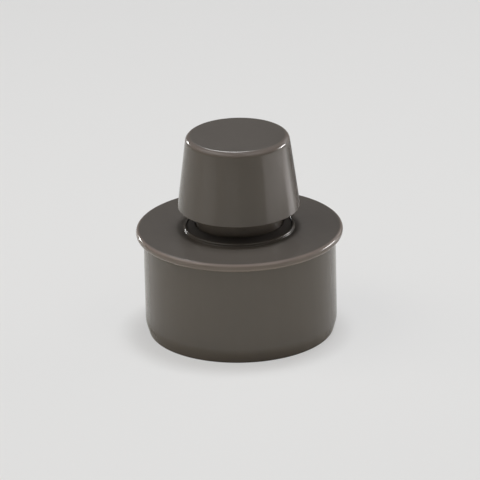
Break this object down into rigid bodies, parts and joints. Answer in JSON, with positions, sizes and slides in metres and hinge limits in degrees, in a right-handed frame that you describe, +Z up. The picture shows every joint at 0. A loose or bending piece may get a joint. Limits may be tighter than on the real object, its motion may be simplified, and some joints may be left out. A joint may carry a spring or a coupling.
{
  "type": "air admittance valve",
  "caption": "Tapered round hood over a membrane valve whose neck plugs into a sealed, flanged reducer with a drain-pipe spigot; it lets air into a drain and keeps foul air in.",
  "frame": {"origin": "centre of the spigot's lower end, on the surface that it stands on", "axes": "+Z up the axis of the spigot, neck and hood"},
  "size_m": [0.1184, 0.1184, 0.1185],
  "materials": {
    "grey_plastic": "gloss",
    "seal_rubber": "satin",
    "membrane_rubber": "matte",
    "carrier_plastic": "satin"
  },
  "bodies": {
    "fitting": {"reducer": "grey_plastic", "lip_seal": "seal_rubber", "valve_body": "grey_plastic", "hood": "grey_plastic"},
    "moving_valve": {"membrane": "membrane_rubber", "membrane_carrier": "carrier_plastic"}
  },
  "joints": [
    {"name": "valve_lift", "type": "slide", "parent": "fitting", "child": "moving_valve", "axis": [0, 0, 1], "range_m": [0, 0.006]}
  ]
}
